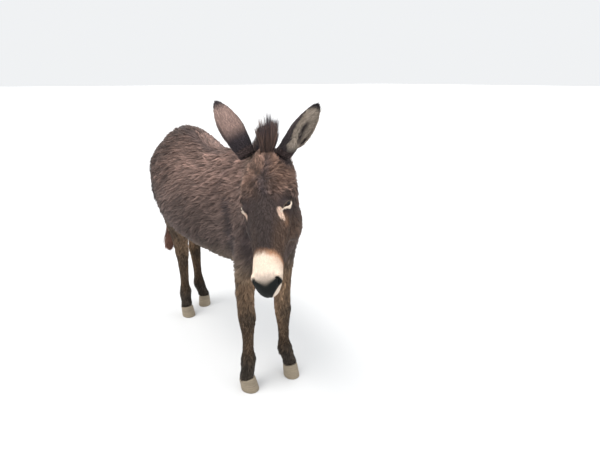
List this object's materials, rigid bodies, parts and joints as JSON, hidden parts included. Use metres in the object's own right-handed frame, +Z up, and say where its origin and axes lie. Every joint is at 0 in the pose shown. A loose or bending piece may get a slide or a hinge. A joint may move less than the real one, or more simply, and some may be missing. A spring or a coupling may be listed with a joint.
{
  "type": "donkey",
  "caption": "Life-size standing donkey with a turned, lowered head, upright ears, shaggy grey-brown coat, pale muzzle and tufted tail, as a still display model.",
  "frame": {"origin": "middle of the whole donkey's box, on the floor", "axes": "+Z up; the trunk lies along Y and the donkey faces -Y, so its left side is +X"},
  "size_m": [0.5566, 1.5414, 1.2197],
  "materials": {
    "coat": "shaggy grey-brown fur lying back and down, paler tips and paler underneath",
    "face_coat": "short dark brown fur, redder and curlier on the forehead, white muzzle with a dark nose, dark ear backs with pale hair inside",
    "leg_coat": "short dark brown fur, paler down the insides, darkest at the fetlocks",
    "long_hair": "coarse upright near-black hair, browner at the end of the tail",
    "horn": "dull grey-tan horn with faint growth rings",
    "eye": "wet, dark brown eye"
  },
  "bodies": {
    "root": {"ear_left": "face_coat", "ear_right": "face_coat", "eye_left": "eye", "eye_right": "eye", "fore_left_lower": "leg_coat", "fore_left_upper": "coat", "fore_right_lower": "leg_coat", "fore_right_upper": "coat", "forelock": "long_hair", "head": "face_coat", "hind_left_lower": "leg_coat", "hind_left_upper": "coat", "hind_right_lower": "leg_coat", "hind_right_upper": "coat", "hoof_fore_left": "horn", "hoof_fore_right": "horn", "hoof_hind_left": "horn", "hoof_hind_right": "horn", "mane": "long_hair", "neck": "coat", "tail": "coat", "tail_switch": "long_hair", "trunk": "coat"}
  },
  "joints": []
}
